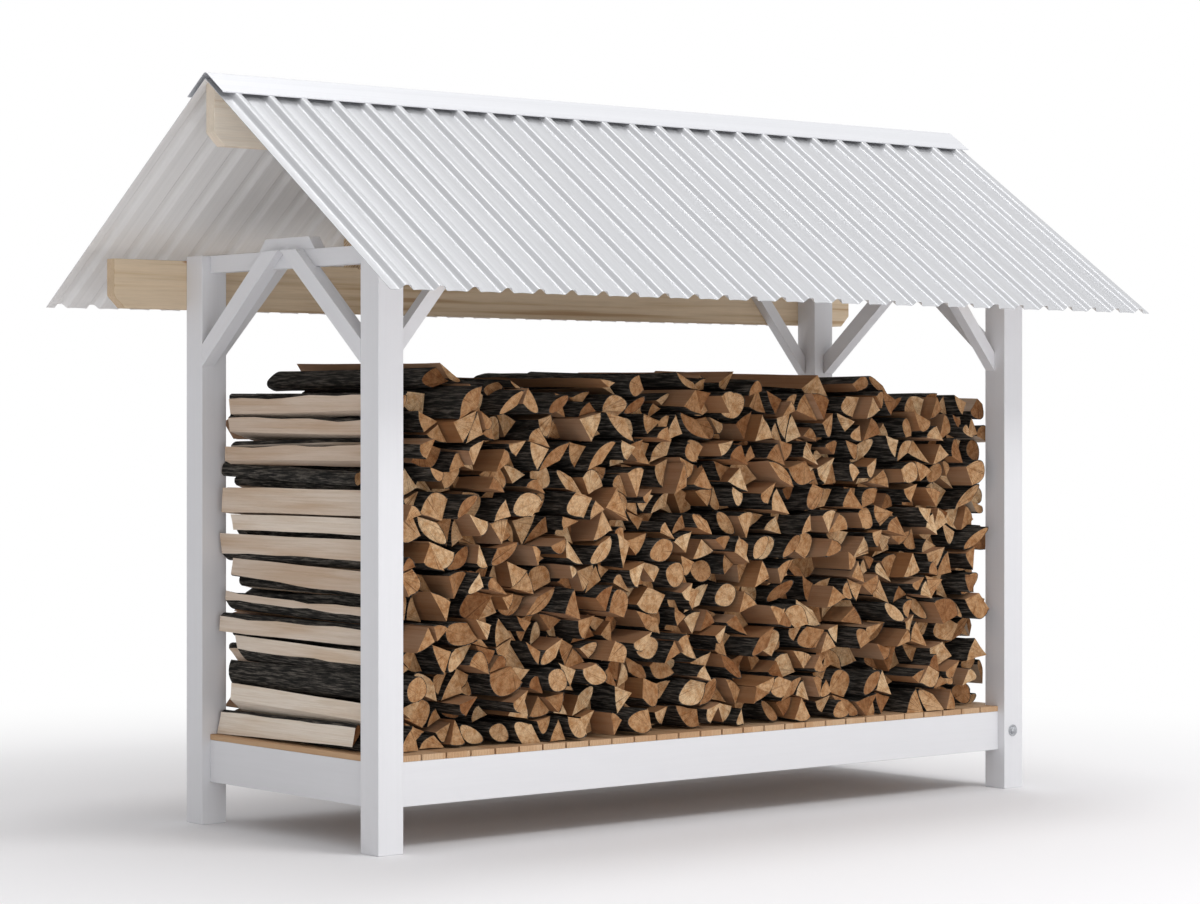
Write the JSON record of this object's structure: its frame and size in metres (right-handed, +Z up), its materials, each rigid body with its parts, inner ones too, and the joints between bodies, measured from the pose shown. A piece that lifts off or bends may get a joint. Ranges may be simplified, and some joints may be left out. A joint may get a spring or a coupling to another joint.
{
  "type": "log store with a gable roof, filled with firewood",
  "caption": "Open-sided timber log store with a raised board floor, knee-braced posts and a gable roof of ribbed steel sheets, stacked full of split firewood.",
  "frame": {"origin": "on the ground, under the middle of the roof", "axes": "+X along the store to its right end, +Y from the front to the back, +Z up"},
  "size_m": [3.51, 2.0974, 2.5561],
  "materials": {
    "white_paint": "opaque white paint on planed timber, matt",
    "beam_wood": "planed pale softwood, unpainted",
    "board_wood": "sawn softwood boards, unpainted",
    "roof_steel": "light grey-white coated ribbed steel, satin",
    "bolt_steel": "zinc-plated",
    "log_wood": "split and sawn hardwood with dark bark"
  },
  "bodies": {
    "root": {"post_front_left": "white_paint", "end_brace_front_left": "white_paint", "long_brace_front_left": "white_paint", "post_back_left": "white_paint", "end_brace_back_left": "white_paint", "long_brace_back_left": "white_paint", "rail_left": "white_paint", "tie_beam_left": "white_paint", "tie_block_left": "white_paint", "post_front_right": "white_paint", "end_brace_front_right": "white_paint", "long_brace_front_right": "white_paint", "post_back_right": "white_paint", "end_brace_back_right": "white_paint", "long_brace_back_right": "white_paint", "rail_right": "white_paint", "tie_beam_right": "white_paint", "tie_block_right": "white_paint", "rail_front": "white_paint", "rafters_front": "beam_wood", "roof_sheet_front": "roof_steel", "plate_front": "beam_wood", "rail_back": "white_paint", "rafters_back": "beam_wood", "roof_sheet_back": "roof_steel", "plate_back": "beam_wood", "floor_bearer": "white_paint", "rail_bolts": "bolt_steel", "floor_boards": "board_wood", "ridge_beam": "beam_wood", "ridge_cap": "roof_steel", "log_row_01": "log_wood", "log_row_02": "log_wood", "log_row_03": "log_wood", "log_row_04": "log_wood", "log_row_05": "log_wood", "log_row_06": "log_wood", "log_row_07": "log_wood", "log_row_08": "log_wood", "log_row_09": "log_wood", "log_row_10": "log_wood", "log_row_11": "log_wood", "log_row_12": "log_wood", "log_row_13": "log_wood", "log_row_14": "log_wood", "top_logs": "log_wood"}
  },
  "joints": []
}
